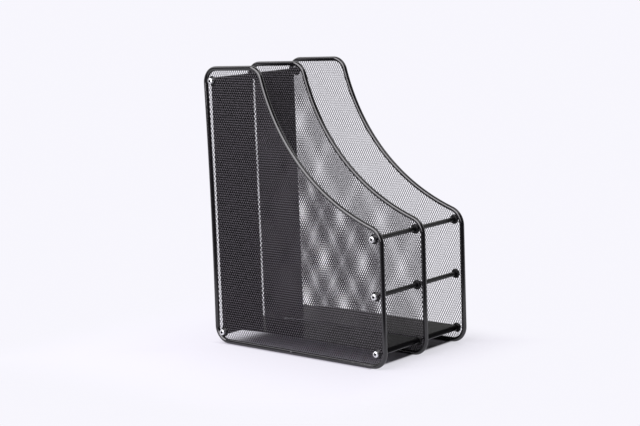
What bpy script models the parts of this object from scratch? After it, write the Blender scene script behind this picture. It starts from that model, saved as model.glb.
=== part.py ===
"""Two-compartment desk magazine holder: three wire-framed expanded-metal panels screwed to cross pieces.

Metres, +Z up. The open front faces -Y and the panels stand square to X. The origin is on the desk,
under the middle of the holder.
"""

from math import cos, degrees, pi, radians, sin

import bmesh
import bpy
from mathutils import Vector

# Overall size
HEIGHT = 0.3153
DEPTH = 0.2477
WIDTH = 0.1465

# Panel outline, measured along the middle of the frame wire
WIRE = 0.0052
CORNER_RADIUS = 0.0165
TOP_FALL = 1.5
BACK_BOW = 0.0015
CREST_Y = 0.05335
CREST_RADIUS = 0.016
CREST_SLOPE = 74.0
BROW_RADIUS = 0.0185
BROW_Z = 0.1326
BROW_SLOPE = 18.7
SWEEP_HANDLE = 0.0765

# Expanded metal, as a wide-pitch lattice of upright diamonds
MESH_THICKNESS = 0.0006
MESH_BORDER = 0.0016
DIAMOND_HEIGHT = 0.0445
DIAMOND_WIDTH = 0.02314
DIAMOND_OPEN = 0.80
LATTICE_Y = 0.0104
LATTICE_Z = 0.0003

# Sheet-metal plates with rolled edges
SHEET = 0.0006
FRONT_ROLL_RADIUS = 0.0031
BACK_ROLL_RADIUS = 0.0036
CURL_TURN = 290.0
FLOOR_KNEE = 0.045

# Places of the screwed joints, as depth and height
UPPER_ROD = Vector((-0.1111, 0.1388))
MIDDLE_ROD = Vector((-0.1113, 0.0781))
FRONT_TUBE = Vector((-0.1112, 0.0170))
BACK_TOP_TUBE = Vector((0.1115, 0.2977))
BACK_BOTTOM_TUBE = Vector((0.1115, 0.0128))

# Rods, end plugs and fasteners
ROD_RADIUS = 0.0025
ROD_FLANGE_RADIUS = 0.0049
PLUG_FLANGE_RADIUS = 0.0044
FLANGE_THICKNESS = 0.0012
PLUG_LENGTH = 0.009
THREAD_RADIUS = 0.0014
THREAD_DEPTH = 0.011
HEAD_RADIUS = 0.0034
HEAD_HEIGHT = 0.0040
PAD_RADIUS = 0.0054

# Clearance kept between neighbouring pieces, and fineness of round shapes
GAP = 0.0003
CORNER_STEPS = 6
CREST_STEPS = 5
BOW_STEPS = 4
SWEEP_STEPS = 11
CURL_STEPS = 12
WIRE_SIDES = 8
ROUND_SIDES = 8
CUTTER_REACH = 0.012

# Values that follow from the driving dimensions
PANEL_PITCH = (WIDTH - WIRE) / 2
PANELS = {"left": -PANEL_PITCH, "middle": 0.0, "right": PANEL_PITCH}
COMPARTMENTS = {"left": -PANEL_PITCH / 2, "right": PANEL_PITCH / 2}
CLEAR_WIDTH = PANEL_PITCH - MESH_THICKNESS - 2 * GAP
PLATE_WIDTH = CLEAR_WIDTH - 2 * (FLANGE_THICKNESS + GAP)
BORE_RADIUS = THREAD_RADIUS + GAP
JOINTS = {
    "front_top": UPPER_ROD,
    "front_middle": MIDDLE_ROD,
    "front_bottom": FRONT_TUBE,
    "back_top": BACK_TOP_TUBE,
    "back_bottom": BACK_BOTTOM_TUBE,
}


def clear_scene():
    for old in list(bpy.data.objects):
        bpy.data.objects.remove(old, do_unlink=True)


def finish(name, colour, roughness, metallic):
    """A plain coat: base colour, roughness and metallic value."""
    material = bpy.data.materials.new(name)
    material.use_nodes = True
    shader = material.node_tree.nodes["Principled BSDF"]
    shader.inputs["Base Color"].default_value = (*colour, 1.0)
    shader.inputs["Roughness"].default_value = roughness
    shader.inputs["Metallic"].default_value = metallic
    return material


def mesh_of(name, shape, material, smooth=False):
    """Closes off a bmesh as mesh data, with its faces pointing out."""
    bmesh.ops.recalc_face_normals(shape, faces=shape.faces)
    mesh = bpy.data.meshes.new(name)
    shape.to_mesh(mesh)
    shape.free()
    mesh.materials.append(material)
    if smooth:
        mesh.shade_smooth()
        mesh.set_sharp_from_angle(angle=radians(40))
    return mesh


def place(name, mesh, parent, location=(0, 0, 0), turned_round=False):
    """One named sub-part. A turned-round piece faces the other way along X."""
    piece = bpy.data.objects.new(name, mesh)
    bpy.context.scene.collection.objects.link(piece)
    piece.parent = parent
    piece.location = location
    piece.rotation_euler = (0, 0, pi if turned_round else 0)
    return piece


def helper(name, mesh):
    """A cutter, which is not part of the object."""
    cutter = bpy.data.objects.new(name, mesh)
    bpy.context.scene.collection.objects.link(cutter)
    cutter.hide_render = True
    cutter.display_type = "WIRE"
    return cutter


def combine(piece, other, operation):
    modifier = piece.modifiers.new(other.name, "BOOLEAN")
    modifier.operation = operation
    modifier.object = other
    modifier.solver = "EXACT"


def add_prism(shape, points, x_low, x_high):
    """Extrudes a closed outline in the Y-Z plane along X."""
    face = shape.faces.new([shape.verts.new((x_low, y, z)) for y, z in points])
    grown = bmesh.ops.extrude_face_region(shape, geom=[face])
    moved = [part for part in grown["geom"] if isinstance(part, bmesh.types.BMVert)]
    bmesh.ops.translate(shape, verts=moved, vec=(x_high - x_low, 0, 0))


def add_turned(shape, profile, sides=ROUND_SIDES):
    """Revolves (x, radius) points about X. A profile that starts off the axis is closed into a ring."""
    rings = []
    for x, radius in profile:
        if radius == 0:
            rings.append([shape.verts.new((x, 0, 0))])
            continue
        angles = [2 * pi * (side + 0.5) / sides for side in range(sides)]
        rings.append([shape.verts.new((x, radius * cos(a), radius * sin(a))) for a in angles])
    pairs = list(zip(rings, rings[1:]))
    if profile[0][1] > 0:
        pairs.append((rings[-1], rings[0]))
    for ring, following in pairs:
        for side in range(sides):
            beside = (side + 1) % sides
            corners = [ring[side % len(ring)], ring[beside % len(ring)]]
            corners += [following[beside % len(following)], following[side % len(following)]]
            shape.faces.new(list(dict.fromkeys(corners)))


def arc(centre, radius, start, end, steps):
    """Points of a round bend, each with its outward direction. Angles in degrees."""
    bend = []
    for step in range(steps + 1):
        angle = radians(start + (end - start) * step / steps)
        outward = Vector((cos(angle), sin(angle)))
        bend.append((centre + radius * outward, outward))
    return bend


def sweep(begin, finish_at):
    """The long concave front edge: a cubic curve that leaves one bend and meets the next in line."""
    (start, start_outward), (end, end_outward) = begin, finish_at
    leaving = start + SWEEP_HANDLE * start_outward.orthogonal()
    arriving = end - SWEEP_HANDLE * end_outward.orthogonal()
    points = []
    for step in range(1, SWEEP_STEPS):
        t = step / SWEEP_STEPS
        first = start.lerp(leaving, t)
        second = leaving.lerp(arriving, t)
        third = arriving.lerp(end, t)
        before, after = first.lerp(second, t), second.lerp(third, t)
        along = (after - before).normalized()
        points.append((before.lerp(after, t), Vector((along.y, -along.x))))
    return points


def bowed(begin, finish_at):
    """The long back rail, drawn in a little at half height."""
    start, end = begin[0], finish_at[0]
    length = (end - start).length
    along = (end - start) / length
    outward = Vector((along.y, -along.x))
    points = []
    for step in range(1, BOW_STEPS):
        t = step / BOW_STEPS
        slope = 4 * BACK_BOW * (1 - 2 * t) / length
        points.append((start.lerp(end, t) - 4 * BACK_BOW * t * (1 - t) * outward, outward + slope * along))
    return points


def outline():
    """The panel's edge, anticlockwise from the bottom rail, as (point, outward direction) pairs."""
    low, high = WIRE / 2, HEIGHT - WIRE / 2
    front, back = WIRE / 2 - DEPTH / 2, DEPTH / 2 - WIRE / 2
    corner_low, corner_front, corner_back = low + CORNER_RADIUS, front + CORNER_RADIUS, back - CORNER_RADIUS
    fall = radians(TOP_FALL)
    crest_centre = Vector((CREST_Y, high - CREST_RADIUS))
    drop = (CORNER_RADIUS - CREST_RADIUS + (corner_back - CREST_Y) * sin(fall)) / cos(fall)
    corner_high = crest_centre.y - drop
    lean = degrees(4 * BACK_BOW / (corner_high - corner_low))
    back_bottom = arc(Vector((corner_back, corner_low)), CORNER_RADIUS, -90, lean, CORNER_STEPS)
    back_top = arc(Vector((corner_back, corner_high)), CORNER_RADIUS, -lean, 90 - TOP_FALL, CORNER_STEPS)
    crest = arc(crest_centre, CREST_RADIUS, 90 - TOP_FALL, 90 + CREST_SLOPE, CREST_STEPS)
    brow_centre = Vector((front + BROW_RADIUS, BROW_Z))
    brow = arc(brow_centre, BROW_RADIUS, 90 + BROW_SLOPE, 180, CREST_STEPS)
    front_bottom = arc(Vector((corner_front, corner_low)), CORNER_RADIUS, 180, 270, CORNER_STEPS)
    back = back_bottom + bowed(back_bottom[-1], back_top[0]) + back_top
    return back + crest + sweep(crest[-1], brow[0]) + brow + front_bottom


def inset_outline(inset):
    return [point - inset * outward for point, outward in outline()]


def frame_mesh(material):
    """The bent wire ring. Its facets lie flat on the desk and square to X."""
    shape = bmesh.new()
    radius = WIRE / 2 / cos(pi / WIRE_SIDES)
    rings = []
    for point, outward in outline():
        ring = []
        for side in range(WIRE_SIDES):
            angle = 2 * pi * (side + 0.5) / WIRE_SIDES
            y, z = point + radius * cos(angle) * outward
            ring.append(shape.verts.new((radius * sin(angle), y, z)))
        rings.append(ring)
    for ring, following in zip(rings, rings[1:] + rings[:1]):
        for side in range(WIRE_SIDES):
            beside = (side + 1) % WIRE_SIDES
            shape.faces.new((ring[side], ring[beside], following[beside], following[side]))
    return mesh_of("frame", shape, material, smooth=True)


def grille_sheet(material):
    """The uncut mesh sheet that fills a frame, up to the wire."""
    shape = bmesh.new()
    add_prism(shape, inset_outline(WIRE / 2 + GAP), -MESH_THICKNESS / 2, MESH_THICKNESS / 2)
    return mesh_of("grille", shape, material)


def diamond_cutter(material):
    """Upright diamonds in staggered columns, kept off the sheet's border and the screwed places."""
    reach = PANEL_PITCH + CUTTER_REACH
    shape = bmesh.new()
    half_wide = DIAMOND_OPEN * DIAMOND_WIDTH / 2
    half_high = DIAMOND_OPEN * DIAMOND_HEIGHT / 2
    columns = int(DEPTH / DIAMOND_WIDTH) + 1
    rows = int(2 * HEIGHT / DIAMOND_HEIGHT) + 2
    for column in range(-columns, columns + 1):
        for row in range(-1, rows):
            if (column + row) % 2 == 0:
                continue
            y = LATTICE_Y + column * DIAMOND_WIDTH / 2
            z = LATTICE_Z + row * DIAMOND_HEIGHT / 2
            corners = [(y + half_wide, z), (y, z + half_high), (y - half_wide, z), (y, z - half_high)]
            add_prism(shape, corners, -reach, reach)
    cutter = helper("diamond_cutter", mesh_of("diamonds", shape, material))

    window = bmesh.new()
    add_prism(window, inset_outline(WIRE / 2 + GAP + MESH_BORDER), -reach - GAP, reach + GAP)
    combine(cutter, helper("window", mesh_of("window", window, material)), "INTERSECT")

    for name, joint in JOINTS.items():
        pad = bmesh.new()
        add_turned(pad, cylinder(reach + 2 * GAP, PAD_RADIUS))
        keeper = helper(f"{name}_pad", mesh_of("pad", pad, material))
        keeper.location = (0, *joint)
        combine(cutter, keeper, "DIFFERENCE")
    return cutter


def cylinder(half_length, radius):
    return [(-half_length, 0), (-half_length, radius), (half_length, radius), (half_length, 0)]


def screw_hole_cutter(material):
    """Holes through all three panels at the screwed places."""
    shape = bmesh.new()
    add_turned(shape, cylinder(PANEL_PITCH + CUTTER_REACH, THREAD_RADIUS + 2 * GAP))
    return mesh_of("screw_holes", shape, material)


def rolled_sheet(path):
    """The outline of a bent sheet, from the (point, outward direction) pairs along its middle."""
    outer = [point + SHEET / 2 * outward for point, outward in path]
    inner = [point - SHEET / 2 * outward for point, outward in path]
    return outer + inner[::-1]


def plate_mesh(name, path, material):
    shape = bmesh.new()
    add_prism(shape, rolled_sheet(path), -PLATE_WIDTH / 2, PLATE_WIDTH / 2)
    return mesh_of(name, shape, material, smooth=True)


def back_plate_mesh(material):
    """An upright sheet whose top and bottom edges are rolled forward into tubes."""
    bend = BACK_ROLL_RADIUS - SHEET / 2
    bottom = arc(BACK_BOTTOM_TUBE, bend, -CURL_TURN, 0, CURL_STEPS)
    top = arc(BACK_TOP_TUBE, bend, 0, CURL_TURN, CURL_STEPS)
    return plate_mesh("back_plate", bottom + top, material)


def bottom_plate_mesh(material):
    """A sheet with its front edge rolled under. Its rear falls a little, onto the back plate's lower tube."""
    bend = FRONT_ROLL_RADIUS - SHEET / 2
    knee = Vector((FLOOR_KNEE, FRONT_TUBE.y + bend))
    rear = BACK_BOTTOM_TUBE + Vector((BACK_ROLL_RADIUS - SHEET - GAP, BACK_ROLL_RADIUS + SHEET / 2 + GAP))
    along = (knee - rear).normalized()
    square = Vector((along.y, -along.x))
    path = [(rear, square), (knee, (square + Vector((0, 1))).normalized())]
    path += arc(FRONT_TUBE, bend, 90, 90 + CURL_TURN, CURL_STEPS)
    return plate_mesh("bottom_plate", path, material)


def rod_mesh(material):
    """A cross rod with a flange and a threaded blind hole at each end."""
    half = CLEAR_WIDTH / 2
    left_end = [(THREAD_DEPTH - half, 0), (THREAD_DEPTH - half, BORE_RADIUS), (-half, BORE_RADIUS)]
    left_end += [(-half, ROD_FLANGE_RADIUS), (FLANGE_THICKNESS - half, ROD_FLANGE_RADIUS)]
    left_end += [(FLANGE_THICKNESS - half, ROD_RADIUS)]
    right_end = [(-x, radius) for x, radius in reversed(left_end)]
    shape = bmesh.new()
    add_turned(shape, left_end + right_end)
    return mesh_of("rod", shape, material, smooth=True)


def plug_mesh(name, roll_radius, material):
    """A flanged threaded plug that sits in the end of a rolled tube."""
    shank = roll_radius - SHEET - GAP
    profile = [(0, BORE_RADIUS), (0, PLUG_FLANGE_RADIUS), (FLANGE_THICKNESS, PLUG_FLANGE_RADIUS)]
    profile += [(FLANGE_THICKNESS, shank), (PLUG_LENGTH, shank), (PLUG_LENGTH, BORE_RADIUS)]
    shape = bmesh.new()
    add_turned(shape, profile)
    return mesh_of(name, shape, material, smooth=True)


def screw_mesh(material):
    """A machine screw with a tall rounded head, towards -X with its underside at the origin."""
    length = THREAD_DEPTH - FLANGE_THICKNESS
    profile = [(-HEAD_HEIGHT, 0), (-HEAD_HEIGHT, 0.45 * HEAD_RADIUS)]
    profile += [(-0.85 * HEAD_HEIGHT, 0.85 * HEAD_RADIUS), (-0.6 * HEAD_HEIGHT, HEAD_RADIUS)]
    profile += [(0, HEAD_RADIUS), (0, THREAD_RADIUS)]
    profile += [(length, THREAD_RADIUS), (length, 0)]
    shape = bmesh.new()
    add_turned(shape, profile)
    return mesh_of("screw", shape, material, smooth=True)


def stud_mesh(material):
    """A plain threaded stud that joins the pieces on both sides of the middle panel."""
    shape = bmesh.new()
    add_turned(shape, cylinder(THREAD_DEPTH - FLANGE_THICKNESS, THREAD_RADIUS))
    return mesh_of("stud", shape, material, smooth=True)


def build():
    clear_scene()
    frame_coat = finish("frame_coat", (0.012, 0.012, 0.013), 0.32, 0.0)
    mesh_coat = finish("mesh_coat", (0.016, 0.016, 0.017), 0.38, 0.0)
    plate_coat = finish("plate_coat", (0.013, 0.013, 0.014), 0.40, 0.0)
    rod_coat = finish("rod_coat", (0.012, 0.012, 0.013), 0.32, 0.0)
    zinc = finish("bright_zinc", (0.78, 0.79, 0.80), 0.22, 1.0)

    holder = bpy.data.objects.new("magazine_holder", None)
    bpy.context.scene.collection.objects.link(holder)

    # Panels
    frame = frame_mesh(frame_coat)
    sheet = grille_sheet(mesh_coat)
    diamonds = diamond_cutter(mesh_coat)
    hole = screw_hole_cutter(mesh_coat)
    holes = []
    for name, joint in JOINTS.items():
        drill = helper(f"{name}_hole", hole)
        drill.location = (0, *joint)
        holes.append(drill)
    for side, x in PANELS.items():
        place(f"{side}_frame", frame, holder, (x, 0, 0))
        grille = place(f"{side}_mesh", sheet, holder, (x, 0, 0))
        combine(grille, diamonds, "DIFFERENCE")
        for drill in holes:
            combine(grille, drill, "DIFFERENCE")

    # Cross pieces of each compartment
    back_plate = back_plate_mesh(plate_coat)
    bottom_plate = bottom_plate_mesh(plate_coat)
    rod = rod_mesh(rod_coat)
    front_plug = plug_mesh("front_plug", FRONT_ROLL_RADIUS, rod_coat)
    back_plug = plug_mesh("back_plug", BACK_ROLL_RADIUS, rod_coat)
    for side, x in COMPARTMENTS.items():
        place(f"{side}_back_plate", back_plate, holder, (x, 0, 0))
        place(f"{side}_bottom_plate", bottom_plate, holder, (x, 0, 0))
        place(f"{side}_upper_rod", rod, holder, (x, *UPPER_ROD))
        place(f"{side}_middle_rod", rod, holder, (x, *MIDDLE_ROD))
        for name, plug in (("front_bottom", front_plug), ("back_top", back_plug), ("back_bottom", back_plug)):
            low, high = x - CLEAR_WIDTH / 2, x + CLEAR_WIDTH / 2
            place(f"{side}_{name}_plug_a", plug, holder, (low, *JOINTS[name]))
            place(f"{side}_{name}_plug_b", plug, holder, (high, *JOINTS[name]), turned_round=True)

    # Fasteners
    screw = screw_mesh(zinc)
    stud = stud_mesh(zinc)
    seat = PANEL_PITCH + MESH_THICKNESS / 2 + GAP
    for name, joint in JOINTS.items():
        place(f"left_{name}_screw", screw, holder, (-seat, *joint))
        place(f"right_{name}_screw", screw, holder, (seat, *joint), turned_round=True)
        place(f"{name}_stud", stud, holder, (0, *joint))


build()
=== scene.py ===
"""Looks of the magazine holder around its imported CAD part: expanded metal, wire, sheet, rods and screws."""

from math import ceil, cos, degrees, pi, radians, sin

import bmesh
import bpy
import numpy as np
from mathutils import Matrix, Vector


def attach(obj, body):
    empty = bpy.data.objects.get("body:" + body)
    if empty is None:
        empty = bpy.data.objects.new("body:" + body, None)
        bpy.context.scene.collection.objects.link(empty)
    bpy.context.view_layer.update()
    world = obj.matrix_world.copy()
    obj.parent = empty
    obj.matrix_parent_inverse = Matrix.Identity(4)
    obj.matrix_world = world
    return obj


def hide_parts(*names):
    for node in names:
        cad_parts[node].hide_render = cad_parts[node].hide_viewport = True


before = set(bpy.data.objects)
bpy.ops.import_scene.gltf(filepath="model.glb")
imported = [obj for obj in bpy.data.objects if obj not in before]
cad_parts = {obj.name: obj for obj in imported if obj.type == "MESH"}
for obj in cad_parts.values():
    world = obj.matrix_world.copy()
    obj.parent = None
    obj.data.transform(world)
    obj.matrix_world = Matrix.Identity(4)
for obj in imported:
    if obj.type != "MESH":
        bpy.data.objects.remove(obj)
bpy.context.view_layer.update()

# Sizes shared with the CAD source, in metres and degrees
HEIGHT = 0.3153
DEPTH = 0.2477
WIDTH = 0.1465
WIRE = 0.0052
CORNER_RADIUS = 0.0165
TOP_FALL = 1.5
BACK_BOW = 0.0015
CREST_Y = 0.05335
CREST_RADIUS = 0.016
CREST_SLOPE = 74.0
BROW_RADIUS = 0.0185
BROW_Z = 0.1326
BROW_SLOPE = 18.7
SWEEP_HANDLE = 0.0765
MESH_THICKNESS = 0.0006
SHEET = 0.0006
FRONT_ROLL_RADIUS = 0.0031
BACK_ROLL_RADIUS = 0.0036
CURL_TURN = 290.0
FLOOR_KNEE = 0.045
UPPER_ROD = Vector((-0.1111, 0.1388))
MIDDLE_ROD = Vector((-0.1113, 0.0781))
FRONT_TUBE = Vector((-0.1112, 0.0170))
BACK_TOP_TUBE = Vector((0.1115, 0.2977))
BACK_BOTTOM_TUBE = Vector((0.1115, 0.0128))
ROD_RADIUS = 0.0025
ROD_FLANGE_RADIUS = 0.0049
PLUG_FLANGE_RADIUS = 0.0044
FLANGE_THICKNESS = 0.0012
PLUG_LENGTH = 0.009
THREAD_RADIUS = 0.0014
THREAD_DEPTH = 0.011
HEAD_RADIUS = 0.0034
HEAD_HEIGHT = 0.0040
PAD_RADIUS = 0.0054
GAP = 0.0003
PANEL_PITCH = (WIDTH - WIRE) / 2
PANELS = {"left": -PANEL_PITCH, "middle": 0.0, "right": PANEL_PITCH}
COMPARTMENTS = {"left": -PANEL_PITCH / 2, "right": PANEL_PITCH / 2}
CLEAR_WIDTH = PANEL_PITCH - MESH_THICKNESS - 2 * GAP
JOINTS = {
    "front_top": UPPER_ROD,
    "front_middle": MIDDLE_ROD,
    "front_bottom": FRONT_TUBE,
    "back_top": BACK_TOP_TUBE,
    "back_bottom": BACK_BOTTOM_TUBE,
}

# Expanded metal at its real pitch
LONG_WAY = 0.00537
SHORT_WAY = 0.00295
OPEN_Y = 0.84
OPEN_Z = 0.83
STRAND_THICKNESS = 0.0002
STRAND_TILT = 0.00008
MESH_END = 0.0006
MESH_OVERLAP = 0.0003
MESH_SHIFT_Y = 0.0006
MESH_SHIFT_Z = 0.0011
DRIFT_Y = 0.00006
DRIFT_Z = 0.00004
DRIFT_WAVES_Y = (0.0143, 0.0117, 0.021)
DRIFT_WAVES_Z = (0.0161, 0.0195, 0.013)
DRIFT_STEP = 2.0

# Other details that only the visible shapes have
PLATE_PLAY = 0.00004
PLATE_WIDTH = CLEAR_WIDTH - 2 * FLANGE_THICKNESS - PLATE_PLAY
BOTTOM_EXTRA = 0.0002
RUBBED_DROP = 0.0017
SEAM_Y = 0.008
SEAM_RINGS = [(0.002, 1.0), (0.0009, 1.0), (0.00035, 0.955)]
PAD_DISH = 0.0013
RIM_ROUND = 0.0003
HEAD_WALL = 0.6
HEAD_POWER = 0.5
RECESS_WIDE = 0.0008
RECESS_ARM = 0.0019
RECESS_TURN = -20.0
RECESS_DEPTH = 0.0020
RECESS_TAPER = 0.6
RECESS_PROUD = 0.0003

# Fineness of the visible shapes
CORNER_STEPS = 14
SWEEP_STEPS = 56
BOW_STEPS = 14
WIRE_SIDES = 20
ROUND_SIDES = 28
CURL_STEPS = 30
RIM_STEPS = 4
HEAD_STEPS = 12
TURNED_SMOOTH = 35.0
WIRE_SMOOTH = 60.0
SHEET_SMOOTH = 40.0

# Points that are measured against the wire at a time
BATCH = 4000

# Tones, painted light and painted shade, and where they change
FRAME_DARK = (0.0042, 0.0038, 0.0046)
FRAME_LIGHT = (0.0064, 0.0058, 0.0069)
COAT_DARK = (0.0028, 0.0026, 0.0031)
COAT_LIGHT = (0.0044, 0.0040, 0.0048)
# Painted light on the expanded metal's black coat: darker at the bonds, lighter on the slanting lengths, and
# painted shade on one slope of each diamond
BOND_PAINTED_SHADE = (0.0115, 0.0107, 0.0122)
STRAND_PAINTED_LIGHT = (0.084, 0.0777, 0.0880)
LIT_TURN = 1.1
SIDE_SHADE = -0.3
ZINC_DULL = (0.66, 0.67, 0.69)
ZINC_BRIGHT = (0.86, 0.86, 0.87)
# Painted shade in each head's drive recess: its colour, its reach from the middle, and how far below the
# head's top it starts
RECESS_SHADE = (0.03, 0.03, 0.032)
RECESS_SHADE_RADIUS = 0.0020
RECESS_SHADE_DEPTH = 0.00035


# Materials

def node_material(name):
    material = bpy.data.materials.new(name)
    material.use_nodes = True
    tree = material.node_tree
    return material, tree, tree.nodes["Principled BSDF"]


def object_place(tree):
    return tree.nodes.new("ShaderNodeTexCoord").outputs["Object"]


def axes_of(tree, place):
    apart = tree.nodes.new("ShaderNodeSeparateXYZ")
    tree.links.new(place, apart.inputs["Vector"])
    return apart.outputs


def noise(tree, scale, detail=2.0):
    texture = tree.nodes.new("ShaderNodeTexNoise")
    texture.inputs["Scale"].default_value = scale
    texture.inputs["Detail"].default_value = detail
    tree.links.new(object_place(tree), texture.inputs["Vector"])
    return texture.outputs["Fac"]


def math_node(tree, operation, *values):
    node = tree.nodes.new("ShaderNodeMath")
    node.operation = operation
    for socket, value in zip(node.inputs, values):
        if isinstance(value, (int, float)):
            socket.default_value = value
        else:
            tree.links.new(value, socket)
    return node.outputs["Value"]


def wave(tree, shape, place, period, shift, start=0.0):
    """A sine or cosine along one axis."""
    angle = math_node(tree, "MULTIPLY_ADD", place, 2 * pi / period, start - 2 * pi * shift / period)
    return math_node(tree, shape, angle)


def ramp(tree, source, low, high, start=0.3, end=0.7):
    """A colour ramp between two values or colours over part of a source's range."""
    node = tree.nodes.new("ShaderNodeValToRGB")
    tones = [tone if isinstance(tone, tuple) else (tone,) * 3 for tone in (low, high)]
    for element, position, tone in zip(node.color_ramp.elements, (start, end), tones):
        element.position = position
        element.color = (*tone, 1.0)
    tree.links.new(source, node.inputs["Fac"])
    return node.outputs["Color"]


def powder_skin(tree, shader, smooth, rough, gloss, grain=1800.0, depth=0.00003):
    """Uneven gloss and a fine orange-peel skin."""
    tree.links.new(ramp(tree, noise(tree, scale=420.0), smooth, rough), shader.inputs["Roughness"])
    bump = tree.nodes.new("ShaderNodeBump")
    bump.inputs["Strength"].default_value = 0.5
    bump.inputs["Distance"].default_value = depth
    tree.links.new(noise(tree, grain), bump.inputs["Height"])
    tree.links.new(bump.outputs["Normal"], shader.inputs["Normal"])
    shader.inputs["IOR"].default_value = 1.5
    shader.inputs["Specular IOR Level"].default_value = gloss


def powder_coat(name, smooth, rough, gloss, dark=COAT_DARK, light=COAT_LIGHT):
    """Satin black powder coat with a faint drift in tone."""
    material, tree, shader = node_material(name)
    tone = ramp(tree, noise(tree, scale=55.0, detail=3.0), dark, light)
    tree.links.new(tone, shader.inputs["Base Color"])
    powder_skin(tree, shader, smooth, rough, gloss)
    return material


def painted_light_strand_coat(name, shift_y, shift_z):
    """The black coat on twisted strands, with painted light: the slanting lengths are painted lighter than
    the bonds, and one slope of each diamond is painted darker.
    """
    material, tree, shader = node_material(name)
    axes = axes_of(tree, object_place(tree))
    # Painted light and shade: the colour runs from dark at the bonds to light on the slanting lengths, and
    # one slope of each diamond is painted darker
    lengths = wave(tree, "COSINE", axes["Z"], LONG_WAY / 2, shift_z, LIT_TURN)
    lit = math_node(tree, "MULTIPLY_ADD", lengths, -0.5, 0.5)
    side = wave(tree, "SINE", axes["Y"], SHORT_WAY, shift_y)
    slope = wave(tree, "SINE", axes["Z"], LONG_WAY, shift_z)
    lit = math_node(tree, "MULTIPLY_ADD", math_node(tree, "MULTIPLY", side, slope), SIDE_SHADE, lit)
    tone = ramp(tree, lit, BOND_PAINTED_SHADE, STRAND_PAINTED_LIGHT, start=0.25, end=0.85)
    tree.links.new(tone, shader.inputs["Base Color"])
    powder_skin(tree, shader, smooth=0.40, rough=0.50, gloss=0.10, grain=2600.0, depth=0.00002)
    return material


def zinc_plate(name):
    """Bright zinc: soft mottled gloss, with painted shade that darkens the drive recess."""
    material, tree, shader = node_material(name)
    bright = ramp(tree, noise(tree, scale=700.0, detail=3.0), ZINC_DULL, ZINC_BRIGHT)
    axes = axes_of(tree, object_place(tree))
    across = math_node(tree, "POWER", axes["Y"], 2.0)
    reach = math_node(tree, "ADD", across, math_node(tree, "POWER", axes["Z"], 2.0))
    # Painted shade: the colour is darkened inside the cross recess, within a radius and below the head's top
    within = math_node(tree, "LESS_THAN", reach, RECESS_SHADE_RADIUS**2)
    sunk = math_node(tree, "GREATER_THAN", axes["X"], RECESS_SHADE_DEPTH - HEAD_HEIGHT)
    recess_shade = tree.nodes.new("ShaderNodeMix")
    recess_shade.data_type = "RGBA"
    recess_shade.inputs["B"].default_value = (*RECESS_SHADE, 1.0)
    tree.links.new(math_node(tree, "MULTIPLY", within, sunk), recess_shade.inputs["Factor"])
    tree.links.new(bright, recess_shade.inputs["A"])
    tree.links.new(recess_shade.outputs["Result"], shader.inputs["Base Color"])
    tree.links.new(ramp(tree, noise(tree, scale=1500.0), 0.30, 0.40), shader.inputs["Roughness"])
    shader.inputs["Metallic"].default_value = 1.0
    return material


frame_coat = powder_coat("frame_coat", 0.10, 0.16, gloss=0.70, dark=FRAME_DARK, light=FRAME_LIGHT)
plate_coat = powder_coat("plate_coat", 0.40, 0.50, gloss=0.11)
floor_coat = powder_coat("floor_coat", 0.14, 0.18, gloss=0.025)
rubbed_coat = powder_coat("rubbed_coat", 0.10, 0.14, gloss=0.71)
pad_coat = powder_coat("pad_coat", 0.16, 0.20, gloss=0.32)
rod_coat = powder_coat("rod_coat", 0.28, 0.36, gloss=0.30)
zinc = zinc_plate("bright_zinc")


# Building

def piece_from(name, mesh, material, node, location=(0, 0, 0), turned_round=False):
    """A finished piece that stands for one CAD node."""
    if not mesh.materials:
        mesh.materials.append(material)
    piece = bpy.data.objects.new(name, mesh)
    bpy.context.scene.collection.objects.link(piece)
    piece.location = location
    piece.rotation_euler = (0, 0, pi if turned_round else 0)
    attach(piece, "root")
    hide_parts(node)


def mesh_of(name, shape, smooth_angle=None):
    bmesh.ops.recalc_face_normals(shape, faces=shape.faces)
    mesh = bpy.data.meshes.new(name)
    shape.to_mesh(mesh)
    shape.free()
    if smooth_angle:
        mesh.shade_smooth()
        mesh.set_sharp_from_angle(angle=radians(smooth_angle))
    return mesh


def turned(name, profile):
    """Revolves (x, radius) points about X. A profile that starts off the axis is closed into a ring."""
    shape = bmesh.new()
    angles = [2 * pi * (side + 0.5) / ROUND_SIDES for side in range(ROUND_SIDES)]
    rings = []
    for x, radius in profile:
        if radius == 0:
            rings.append([shape.verts.new((x, 0, 0))])
            continue
        rings.append([shape.verts.new((x, radius * cos(a), radius * sin(a))) for a in angles])
    pairs = list(zip(rings, rings[1:]))
    if profile[0][1] > 0:
        pairs.append((rings[-1], rings[0]))
    for ring, following in pairs:
        for side in range(ROUND_SIDES):
            beside = (side + 1) % ROUND_SIDES
            corners = [ring[side % len(ring)], ring[beside % len(ring)]]
            corners += [following[beside % len(following)], following[side % len(following)]]
            shape.faces.new(list(dict.fromkeys(corners)))
    return mesh_of(name, shape, TURNED_SMOOTH)


def rounded(x, radius, direction):
    """A small round on an outer rim, from the end face at x inwards."""
    points = []
    for step in range(RIM_STEPS + 1):
        angle = pi / 2 * step / RIM_STEPS
        inwards = direction * RIM_ROUND * (1 - cos(angle))
        points.append((x + inwards, radius - RIM_ROUND * (1 - sin(angle))))
    return points


def arc(centre, radius, start, end, steps):
    """Points on a bend between two angles in degrees, each with its outward direction."""
    bend = []
    for step in range(steps + 1):
        angle = radians(start + (end - start) * step / steps)
        outward = Vector((cos(angle), sin(angle)))
        bend.append((centre + radius * outward, outward))
    return bend


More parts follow.
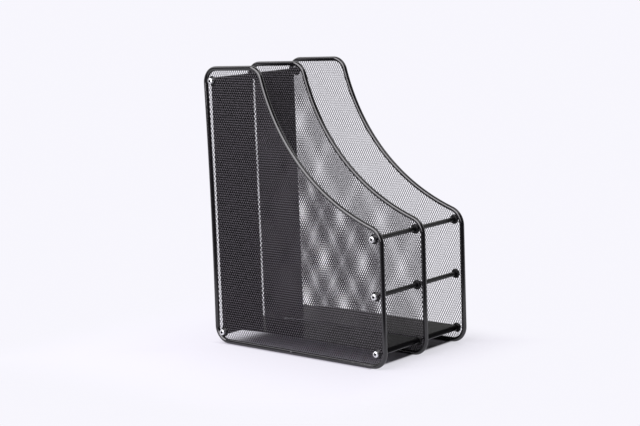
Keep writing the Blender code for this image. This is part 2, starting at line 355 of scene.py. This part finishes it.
def sweep(begin, finish_at):
    """The long concave sweep, one cubic curve that leaves and arrives in line with its neighbours."""
    (start, start_outward), (end, end_outward) = begin, finish_at
    leaving = start + SWEEP_HANDLE * start_outward.orthogonal()
    arriving = end - SWEEP_HANDLE * end_outward.orthogonal()
    points = []
    for step in range(1, SWEEP_STEPS):
        t = step / SWEEP_STEPS
        first, second, third = start.lerp(leaving, t), leaving.lerp(arriving, t), arriving.lerp(end, t)
        before, after = first.lerp(second, t), second.lerp(third, t)
        along = (after - before).normalized()
        points.append((before.lerp(after, t), Vector((along.y, -along.x))))
    return points


def bowed(begin, finish_at):
    """The long back rail, drawn in a little at half height."""
    start, end = begin[0], finish_at[0]
    length = (end - start).length
    along = (end - start) / length
    outward = Vector((along.y, -along.x))
    points = []
    for step in range(1, BOW_STEPS):
        t = step / BOW_STEPS
        slope = 4 * BACK_BOW * (1 - 2 * t) / length
        place = start.lerp(end, t) - 4 * BACK_BOW * t * (1 - t) * outward
        points.append((place, (outward + slope * along).normalized()))
    return points


def outline():
    """The middle of the frame wire, anticlockwise from the back end of the bottom rail."""
    low, high = WIRE / 2, HEIGHT - WIRE / 2
    front, back = WIRE / 2 - DEPTH / 2, DEPTH / 2 - WIRE / 2
    corner_low, corner_front, corner_back = low + CORNER_RADIUS, front + CORNER_RADIUS, back - CORNER_RADIUS
    fall = radians(TOP_FALL)
    crest_centre = Vector((CREST_Y, high - CREST_RADIUS))
    drop = (CORNER_RADIUS - CREST_RADIUS + (corner_back - CREST_Y) * sin(fall)) / cos(fall)
    corner_high = crest_centre.y - drop
    lean = degrees(4 * BACK_BOW / (corner_high - corner_low))
    back_bottom = arc(Vector((corner_back, corner_low)), CORNER_RADIUS, -90, lean, CORNER_STEPS)
    back_top = arc(Vector((corner_back, corner_high)), CORNER_RADIUS, -lean, 90 - TOP_FALL, CORNER_STEPS)
    crest = arc(crest_centre, CREST_RADIUS, 90 - TOP_FALL, 90 + CREST_SLOPE, CORNER_STEPS)
    brow_centre = Vector((front + BROW_RADIUS, BROW_Z))
    brow = arc(brow_centre, BROW_RADIUS, 90 + BROW_SLOPE, 180, CORNER_STEPS)
    front_bottom = arc(Vector((corner_front, corner_low)), CORNER_RADIUS, 180, 270, CORNER_STEPS)
    rear = back_bottom + bowed(back_bottom[-1], back_top[0]) + back_top
    return rear + crest + sweep(crest[-1], brow[0]) + brow + front_bottom


EDGE = outline()


def wire_mesh(name):
    """The bent wire, closed by a butt weld in the bottom rail that shows as a fine groove."""
    down = Vector((0, -1))
    rings = [(point, outward, 1.0) for point, outward in EDGE]
    for offset, swell in [(-away, swell) for away, swell in SEAM_RINGS] + SEAM_RINGS[::-1]:
        rings.append((Vector((SEAM_Y + offset, WIRE / 2)), down, swell))
    shape = bmesh.new()
    loops = []
    for point, outward, swell in rings:
        loop = []
        for side in range(WIRE_SIDES):
            angle = 2 * pi * side / WIRE_SIDES
            y, z = point + swell * WIRE / 2 * cos(angle) * outward
            loop.append(shape.verts.new((swell * WIRE / 2 * sin(angle), y, z)))
        loops.append(loop)
    for loop, following in zip(loops, loops[1:] + loops[:1]):
        for side in range(WIRE_SIDES):
            beside = (side + 1) % WIRE_SIDES
            shape.faces.new((loop[side], loop[beside], following[beside], following[side]))
    return mesh_of(name, shape, WIRE_SMOOTH)


def nearest_on_edge(points):
    """For each point: the nearest place on the wire's middle, the outward direction there, and its depth."""
    starts = np.array([point for point, _ in EDGE])
    outs = np.array([outward for _, outward in EDGE])
    ends, end_outs = np.roll(starts, -1, 0), np.roll(outs, -1, 0)
    along = ends - starts
    reach = (along**2).sum(1)
    places, outwards = np.empty_like(points), np.empty_like(points)
    for first in range(0, len(points), BATCH):
        some = points[first : first + BATCH]
        share = ((some[:, None] - starts) * along).sum(2) / reach
        share = np.clip(share, 0, 1)
        found = starts + share[:, :, None] * along
        best = ((some[:, None] - found) ** 2).sum(2).argmin(1)
        row = np.arange(len(some))
        places[first : first + BATCH] = found[row, best]
        mix = share[row, best][:, None]
        outwards[first : first + BATCH] = (1 - mix) * outs[best] + mix * end_outs[best]
    outwards /= np.linalg.norm(outwards, axis=1)[:, None]
    return places, outwards, ((places - points) * outwards).sum(1)


def drawn_in(points):
    """Draws points back to where the mesh ends, just inside the wire's middle. Returns their old depths."""
    places, outwards, depth = nearest_on_edge(points)
    outside = depth < MESH_END
    points[outside] = places[outside] - MESH_END * outwards[outside]
    return depth


def drifted(points, phase):
    """The slow unevenness of stretched metal, about a tenth of a millimetre."""
    y, z = points[..., 0], points[..., 1]
    first, second, third = DRIFT_WAVES_Y
    wave_y = np.sin(z / first + phase) + np.sin(y / second + 0.6 * z / third + 2.1 * phase)
    first, second, third = DRIFT_WAVES_Z
    wave_z = np.sin(y / first + 1.7 * phase) + np.sin(z / second - 0.5 * y / third + phase)
    return points + np.stack([DRIFT_Y * wave_y, DRIFT_Z * wave_z], -1)


def screw_pads(first):
    """The solid discs left in the sheet at the screwed places: points, and quads numbered from first."""
    angles = 2 * pi * np.arange(ROUND_SIDES) / ROUND_SIDES
    about = np.column_stack([np.cos(angles), np.sin(angles)])
    thick, hole, flat = MESH_THICKNESS / 2, THREAD_RADIUS + 2 * GAP, PAD_RADIUS - PAD_DISH
    profile = [(0.0, PAD_RADIUS), (thick, flat), (thick, hole), (-thick, hole), (-thick, flat)]
    points, quads = [], []
    for joint in JOINTS.values():
        rings = []
        for x, radius in profile:
            rings.append(first + len(points) * ROUND_SIDES + np.arange(ROUND_SIDES))
            points.append(np.column_stack([np.full(ROUND_SIDES, x), np.array(joint) + radius * about]))
        for ring, following in zip(rings, rings[1:] + rings[:1]):
            quads.append(np.column_stack([ring, np.roll(ring, -1), np.roll(following, -1), following]))
    return np.concatenate(points), np.concatenate(quads)


def diamonds(shift_y, shift_z, drift):
    """The upright diamonds inside the wire: bonds, the four bonds of each diamond, and the holes' corners."""
    half_y, half_z = SHORT_WAY / 2, LONG_WAY / 2
    columns, rows = ceil(DEPTH / SHORT_WAY) + 2, ceil(2 * HEIGHT / LONG_WAY) + 4
    column, row = np.meshgrid(np.arange(-columns, columns + 1), np.arange(-2, rows), indexing="ij")
    spot = drifted(np.stack([shift_y + column * half_y, shift_z + row * half_z], 2), drift)
    grid = spot.reshape(-1, 2).copy()
    inside = (drawn_in(grid) > WIRE / 2 - MESH_OVERLAP).reshape(column.shape)
    index = np.arange(column.size).reshape(column.shape)
    middle = ((column + row) % 2 == 1)[1:-1, 1:-1]
    around = [(slice(2, None), slice(1, -1)), (slice(1, -1), slice(2, None))]
    around += [(slice(None, -2), slice(1, -1)), (slice(1, -1), slice(None, -2))]
    kept = middle & np.any([inside[place] for place in around], axis=0)
    corners = np.stack([index[place][kept] for place in around], 1)
    used, cells = np.unique(corners, return_inverse=True)
    open_y, open_z = OPEN_Y * half_y, OPEN_Z * half_z
    opening = np.array([(open_y, 0), (0, open_z), (-open_y, 0), (0, -open_z)])
    holes = (spot[1:-1, 1:-1][kept][:, None] + opening).reshape(-1, 2)
    drawn_in(holes)
    return grid[used], cells.reshape(-1, 4), holes


def quad_mesh(name, points, quads):
    mesh = bpy.data.meshes.new(name)
    mesh.vertices.add(len(points))
    mesh.vertices.foreach_set("co", points.astype(np.float32).ravel())
    mesh.loops.add(quads.size)
    mesh.loops.foreach_set("vertex_index", quads.astype(np.int32).ravel())
    mesh.polygons.add(len(quads))
    mesh.polygons.foreach_set("loop_start", np.arange(0, quads.size, 4, dtype=np.int32))
    return mesh


def expanded_metal(name, shift_y, shift_z, drift, coat):
    """Diamonds at the real pitch, strands set askew. They run into the wire and end near its middle."""
    bonds, cells, holes = diamonds(shift_y, shift_z, drift)
    plan = np.concatenate([bonds, holes])
    hole = len(bonds) + np.arange(len(holes)).reshape(-1, 4)
    count = len(plan)
    askew = np.concatenate([np.zeros(len(bonds)), np.tile((STRAND_TILT, 0, -STRAND_TILT, 0), len(cells))])
    front = np.column_stack([askew + STRAND_THICKNESS / 2, plan])
    back = np.column_stack([askew - STRAND_THICKNESS / 2, plan])
    following = np.roll(cells, -1, 1)
    hole_following = np.roll(hole, -1, 1)
    face = np.stack([cells, following, hole_following, hole], 2).reshape(-1, 4)
    wall = np.stack([hole, hole_following, hole_following + count, hole + count], 2).reshape(-1, 4)
    sides = np.stack([cells, following], 2).reshape(-1, 2)
    _, which, uses = np.unique(np.sort(sides, 1), axis=0, return_inverse=True, return_counts=True)
    rim = sides[uses[which.reshape(-1)] == 1]
    rim = np.column_stack([rim[:, 1], rim[:, 0], rim[:, 0] + count, rim[:, 1] + count])
    discs, disc_quads = screw_pads(2 * count)
    points = np.concatenate([front, back, discs])
    quads = np.concatenate([face, face[:, ::-1] + count, wall, rim, disc_quads])
    mesh = quad_mesh(name, points, quads)
    for finish in (coat, pad_coat):
        mesh.materials.append(finish)
    on_pad = np.arange(len(quads)) >= len(quads) - len(disc_quads)
    mesh.polygons.foreach_set("material_index", on_pad.astype(np.int32))
    mesh.update(calc_edges=True)
    mesh.validate()
    return mesh


def rolled_plate(name, path, under=SHEET / 2):
    """A bent sheet that ends against the flanges of its end plugs."""
    outer = [point + SHEET / 2 * outward for point, outward in path]
    inner = [point - under * outward for point, outward in path]
    shape = bmesh.new()
    face = shape.faces.new([shape.verts.new((-PLATE_WIDTH / 2, *point)) for point in outer + inner[::-1]])
    grown = bmesh.ops.extrude_face_region(shape, geom=[face])
    moved = [part for part in grown["geom"] if isinstance(part, bmesh.types.BMVert)]
    bmesh.ops.translate(shape, verts=moved, vec=(PLATE_WIDTH, 0, 0))
    return mesh_of(name, shape, SHEET_SMOOTH)


def cut(name, mesh, tool_mesh):
    """The mesh less the tool, worked out once."""
    body = bpy.data.objects.new(name, mesh)
    tool = bpy.data.objects.new("tool", tool_mesh)
    for helper in (body, tool):
        bpy.context.scene.collection.objects.link(helper)
    modifier = body.modifiers.new("cut", "BOOLEAN")
    modifier.object = tool
    modifier.solver = "EXACT"
    bpy.context.view_layer.update()
    graph = bpy.context.evaluated_depsgraph_get()
    result = bpy.data.meshes.new_from_object(body.evaluated_get(graph))
    for helper in (body, tool):
        bpy.data.objects.remove(helper, do_unlink=True)
    return result


def recess_tool():
    """The tapered cross that is cut into a head."""
    corners = [(RECESS_WIDE, RECESS_WIDE), (RECESS_WIDE, RECESS_ARM), (-RECESS_WIDE, RECESS_ARM)]
    cross = []
    for _ in range(4):
        cross += corners
        corners = [(-z, y) for y, z in corners]
    turn = radians(RECESS_TURN)
    cross = [(y * cos(turn) - z * sin(turn), y * sin(turn) + z * cos(turn)) for y, z in cross]
    high, deep = -HEAD_HEIGHT - RECESS_PROUD, -HEAD_HEIGHT + RECESS_DEPTH
    shape = bmesh.new()
    top = [shape.verts.new((high, y, z)) for y, z in cross]
    low = [shape.verts.new((deep, RECESS_TAPER * y, RECESS_TAPER * z)) for y, z in cross]
    shape.faces.new(top)
    shape.faces.new(low[::-1])
    for side in range(len(cross)):
        beside = (side + 1) % len(cross)
        shape.faces.new((top[side], top[beside], low[beside], low[side]))
    return mesh_of("cross", shape)


def screw_mesh():
    """A tall rounded head with a cross recess, and its shank."""
    length = THREAD_DEPTH - FLANGE_THICKNESS
    profile = [(-HEAD_HEIGHT, 0)]
    for step in range(1, HEAD_STEPS + 1):
        angle = pi / 2 * step / HEAD_STEPS
        rise = HEAD_WALL + (1 - HEAD_WALL) * cos(angle) ** HEAD_POWER
        profile.append((-HEAD_HEIGHT * rise, HEAD_RADIUS * sin(angle) ** HEAD_POWER))
    profile += [(0, HEAD_RADIUS), (0, THREAD_RADIUS), (length, THREAD_RADIUS), (length, 0)]
    result = cut("screw", turned("screw", profile), recess_tool())
    result.shade_smooth()
    result.set_sharp_from_angle(angle=radians(TURNED_SMOOTH))
    return result


# Panels
wire = wire_mesh("wire")
for number, (side, x) in enumerate(PANELS.items()):
    piece_from(f"{side}_wire", wire, frame_coat, f"{side}_frame", (x, 0, 0))
    shift_y, shift_z = MESH_SHIFT_Y * number, MESH_SHIFT_Z * number
    mesh_painted_light = painted_light_strand_coat(f"{side}_mesh_painted_light", shift_y, shift_z)
    lattice = expanded_metal(f"{side}_expanded_metal", shift_y, shift_z, DRIFT_STEP * number, mesh_painted_light)
    piece_from(f"{side}_expanded_metal", lattice, mesh_painted_light, f"{side}_mesh", (x, 0, 0))

# Cross pieces
bend = BACK_ROLL_RADIUS - SHEET / 2
back_path = arc(BACK_BOTTOM_TUBE, bend, -CURL_TURN, 0, CURL_STEPS)
back_path += arc(BACK_TOP_TUBE, bend, 0, CURL_TURN, CURL_STEPS)
bend = FRONT_ROLL_RADIUS - SHEET / 2
knee = Vector((FLOOR_KNEE, FRONT_TUBE.y + bend))
rear = BACK_BOTTOM_TUBE + Vector((BACK_ROLL_RADIUS - SHEET - GAP, BACK_ROLL_RADIUS + SHEET / 2 + GAP))
along = (knee - rear).normalized()
square = Vector((along.y, -along.x))
bottom_path = [(rear, square), (knee, (square + Vector((0, 1))).normalized())]
bottom_path += arc(FRONT_TUBE, bend, 90, 90 + CURL_TURN, CURL_STEPS)
back_plate = rolled_plate("back_sheet", back_path)
bottom_plate = rolled_plate("bottom_sheet", bottom_path, SHEET / 2 + BOTTOM_EXTRA)
for coat in (floor_coat, rubbed_coat):
    bottom_plate.materials.append(coat)
for face in bottom_plate.polygons:
    low_front = face.center.y < FRONT_TUBE.x and face.center.z < FRONT_TUBE.y - RUBBED_DROP
    face.material_index = int(low_front)

half = CLEAR_WIDTH / 2
bore = THREAD_RADIUS + GAP
rod_end = [(THREAD_DEPTH - half, 0), (THREAD_DEPTH - half, bore), (-half, bore)]
rod_end += rounded(-half, ROD_FLANGE_RADIUS, 1)
rod_end += rounded(FLANGE_THICKNESS - half, ROD_FLANGE_RADIUS, -1)[::-1]
rod_end += [(FLANGE_THICKNESS - half, ROD_RADIUS)]
rod = turned("rod", rod_end + [(-x, radius) for x, radius in reversed(rod_end)])
flange = [(0, bore)] + rounded(0, PLUG_FLANGE_RADIUS, 1)
flange += rounded(FLANGE_THICKNESS, PLUG_FLANGE_RADIUS, -1)[::-1]
plugs = {}
for name, roll in (("front", FRONT_ROLL_RADIUS), ("back", BACK_ROLL_RADIUS)):
    shank = [(x, roll - SHEET - GAP) for x in (FLANGE_THICKNESS, PLUG_LENGTH)]
    plugs[name] = turned(f"{name}_plug", flange + shank + [(PLUG_LENGTH, bore)])

for side, x in COMPARTMENTS.items():
    place = (x, 0, 0)
    piece_from(f"{side}_back_sheet", back_plate, plate_coat, f"{side}_back_plate", place)
    piece_from(f"{side}_bottom_sheet", bottom_plate, floor_coat, f"{side}_bottom_plate", place)
    piece_from(f"{side}_upper_bar", rod, rod_coat, f"{side}_upper_rod", (x, *UPPER_ROD))
    piece_from(f"{side}_middle_bar", rod, rod_coat, f"{side}_middle_rod", (x, *MIDDLE_ROD))
    for name in ("front_bottom", "back_top", "back_bottom"):
        for end, turned_round in (("a", False), ("b", True)):
            start = x + half if turned_round else x - half
            node = f"{side}_{name}_plug_{end}"
            spot = (start, *JOINTS[name])
            plug = plugs[name.split("_")[0]]
            piece_from(f"{side}_{name}_boss_{end}", plug, rod_coat, node, spot, turned_round)

# Fasteners
screw = screw_mesh()
seat = PANEL_PITCH + MESH_THICKNESS / 2 + GAP
for name, joint in JOINTS.items():
    for side, turned_round in (("left", False), ("right", True)):
        x = seat if turned_round else -seat
        node = f"{side}_{name}_screw"
        piece_from(f"{side}_{name}_pan_head", screw, zinc, node, (x, *joint), turned_round)
    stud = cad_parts[f"{name}_stud"]
    stud.data.materials.clear()
    stud.data.materials.append(zinc)

# Floor, light and camera
BEHIND = Vector((0.756, 0.655, 0.0))
WHITE = (0.935, 0.925, 0.985)
TABLE_DARK = (0.755, 0.725, 0.83)
TABLE_LIGHT = (0.775, 0.745, 0.85)
TABLE_END = -0.34
TABLE_FULL = -0.20
# Painted shadow: the share of the table's colour that is left under the holder
UNDER_PAINTED_SHADOW = 0.40
NEAR_LIFT = 0.65
SIDE_START = WIDTH / 2 - 0.004
SIDE_SOFT = 0.010
FRONT_START = 0.1005
FRONT_SOFT = 0.006
BACK_START = 0.088
BACK_SOFT = 0.046
SHADOW_REACH = 0.25
FRONT_REACH = 0.12
RIGHT_REACH = 0.08
STUDIO_FRONT = 0.04
STUDIO_BACK = 0.85
LAMP_TINT = (0.985, 0.96, 1.0)
CAMERA_PLACE = (-1.33925, -1.13766, 0.4296)
CAMERA_ACROSS = Vector((0.64974, -0.75925, -0.03721))
CAMERA_UP = Vector((0.14416, 0.07501, 0.98671))
CAMERA_AWAY = Vector((-0.74636, -0.64647, 0.15819))


def along_view(tree, direction_of):
    """How far a direction or place lies towards the backdrop."""
    dot = tree.nodes.new("ShaderNodeVectorMath")
    dot.operation = "DOT_PRODUCT"
    dot.inputs[1].default_value = BEHIND
    tree.links.new(direction_of, dot.inputs[0])
    return dot.outputs["Value"]


def smooth_step(tree, value, low, high):
    node = tree.nodes.new("ShaderNodeMapRange")
    node.interpolation_type = "SMOOTHSTEP"
    node.inputs["From Min"].default_value = low
    node.inputs["From Max"].default_value = high
    tree.links.new(value, node.inputs["Value"])
    return node.outputs["Result"]


def shadow_lift(tree, spot):
    """How far the floor is lifted to the backdrop's white: not under the holder, and more with distance."""
    axes = axes_of(tree, spot)
    left = math_node(tree, "MULTIPLY", axes["X"], -1.0)
    before = math_node(tree, "MULTIPLY", axes["Y"], -1.0)
    edges = [
        (left, SIDE_START, SIDE_SOFT, SHADOW_REACH),
        (axes["X"], SIDE_START, SIDE_SOFT, RIGHT_REACH),
        (before, FRONT_START, FRONT_SOFT, FRONT_REACH),
        (axes["Y"], BACK_START, BACK_SOFT, SHADOW_REACH),
    ]
    near, far = 0.0, 0.0
    for reach, start, soft, fade in edges:
        near = math_node(tree, "MAXIMUM", near, smooth_step(tree, reach, start, start + soft))
        far = math_node(tree, "MAXIMUM", far, smooth_step(tree, reach, start, start + fade))
    far = math_node(tree, "MULTIPLY", far, 1 - NEAR_LIFT)
    return math_node(tree, "MULTIPLY_ADD", near, NEAR_LIFT, far)


def table_material():
    """A white table with a painted shadow under the holder, that fades into the backdrop and ends a little
    way in front of the holder.
    """
    material, tree, shader = node_material("table")
    shader.inputs["Roughness"].default_value = 0.85
    shader.inputs["Specular IOR Level"].default_value = 0.1
    glow = tree.nodes.new("ShaderNodeEmission")
    glow.inputs["Color"].default_value = (*WHITE, 1.0)
    light_path = tree.nodes.new("ShaderNodeLightPath").outputs
    seen = math_node(tree, "MAXIMUM", light_path["Is Camera Ray"], light_path["Is Glossy Ray"])
    seen = math_node(tree, "MAXIMUM", seen, light_path["Is Transmission Ray"])
    spot = tree.nodes.new("ShaderNodeNewGeometry").outputs["Position"]
    lift = shadow_lift(tree, spot)
    shade = tree.nodes.new("ShaderNodeVectorMath")
    shade.operation = "SCALE"
    tree.links.new(ramp(tree, noise(tree, scale=4.0), TABLE_DARK, TABLE_LIGHT), shade.inputs["Vector"])
    # Painted shadow: the table's colour is darkened under the holder and comes back where the floor is lifted
    tree.links.new(math_node(tree, "MULTIPLY_ADD", lift, 1 - UNDER_PAINTED_SHADOW, UNDER_PAINTED_SHADOW), shade.inputs["Scale"])
    tree.links.new(shade.outputs["Vector"], shader.inputs["Base Color"])
    lit = tree.nodes.new("ShaderNodeMixShader")
    tree.links.new(math_node(tree, "MULTIPLY", seen, lift), lit.inputs["Fac"])
    tree.links.new(shader.outputs["BSDF"], lit.inputs[1])
    tree.links.new(glow.outputs["Emission"], lit.inputs[2])
    ended = tree.nodes.new("ShaderNodeMixShader")
    clear = tree.nodes.new("ShaderNodeBsdfTransparent")
    tree.links.new(smooth_step(tree, along_view(tree, spot), TABLE_END, TABLE_FULL), ended.inputs["Fac"])
    tree.links.new(clear.outputs["BSDF"], ended.inputs[1])
    tree.links.new(lit.outputs["Shader"], ended.inputs[2])
    tree.links.new(ended.outputs["Shader"], tree.nodes["Material Output"].inputs["Surface"])
    return material


def light_studio():
    """A world that is white to the camera and lights the holder from behind."""
    world = bpy.data.worlds.new("studio")
    bpy.context.scene.world = world
    world.use_nodes = True
    tree = world.node_tree
    background = tree.nodes["Background"]
    path = tree.nodes.new("ShaderNodeLightPath")
    place = tree.nodes.new("ShaderNodeTexCoord")
    towards_back = along_view(tree, place.outputs["Generated"])
    studio = ramp(tree, towards_back, STUDIO_FRONT, STUDIO_BACK, start=0.02, end=0.40)
    mix = tree.nodes.new("ShaderNodeMix")
    mix.data_type = "RGBA"
    mix.inputs["B"].default_value = (*WHITE, 1.0)
    tree.links.new(path.outputs["Is Camera Ray"], mix.inputs["Factor"])
    tree.links.new(studio, mix.inputs["A"])
    tree.links.new(mix.outputs["Result"], background.inputs["Color"])
    background.inputs["Strength"].default_value = 1.0


def softbox(name, direction, distance, wide, high, power):
    """An area lamp that looks at the middle of the holder."""
    target = Vector((0, 0, HEIGHT / 2))
    lamp = bpy.data.objects.new(name, bpy.data.lights.new(name, "AREA"))
    lamp.data.shape = "RECTANGLE"
    lamp.data.size = wide
    lamp.data.size_y = high
    lamp.data.energy = power
    lamp.data.color = LAMP_TINT
    away = Vector(direction).normalized()
    lamp.location = target + distance * away
    lamp.rotation_euler = (-away).to_track_quat("-Z", "Y").to_euler()
    bpy.context.scene.collection.objects.link(lamp)


bpy.ops.mesh.primitive_plane_add(size=8.0, location=(0, 0, 0))
floor = bpy.context.object
floor.name = "table"
floor.data.materials.append(table_material())

light_studio()
softbox("softbox_left", (-0.86, 0.10, 0.50), distance=1.5, wide=1.75, high=1.7, power=56.0)
softbox("softbox_top", (0.23, -0.41, 0.88), distance=1.6, wide=0.9, high=0.9, power=4.0)
softbox("softbox_back", (-0.16, 0.65, 0.75), distance=1.6, wide=0.9, high=0.9, power=4.5)

camera = bpy.data.objects.new("camera", bpy.data.cameras.new("camera"))
camera.data.lens = 90.19
camera.data.sensor_width = 36.0
turn = Matrix((CAMERA_ACROSS, CAMERA_UP, CAMERA_AWAY)).transposed().to_4x4()
camera.matrix_world = Matrix.Translation(CAMERA_PLACE) @ turn
bpy.context.scene.collection.objects.link(camera)
bpy.context.scene.camera = camera
bpy.context.scene.view_settings.view_transform = "Standard"
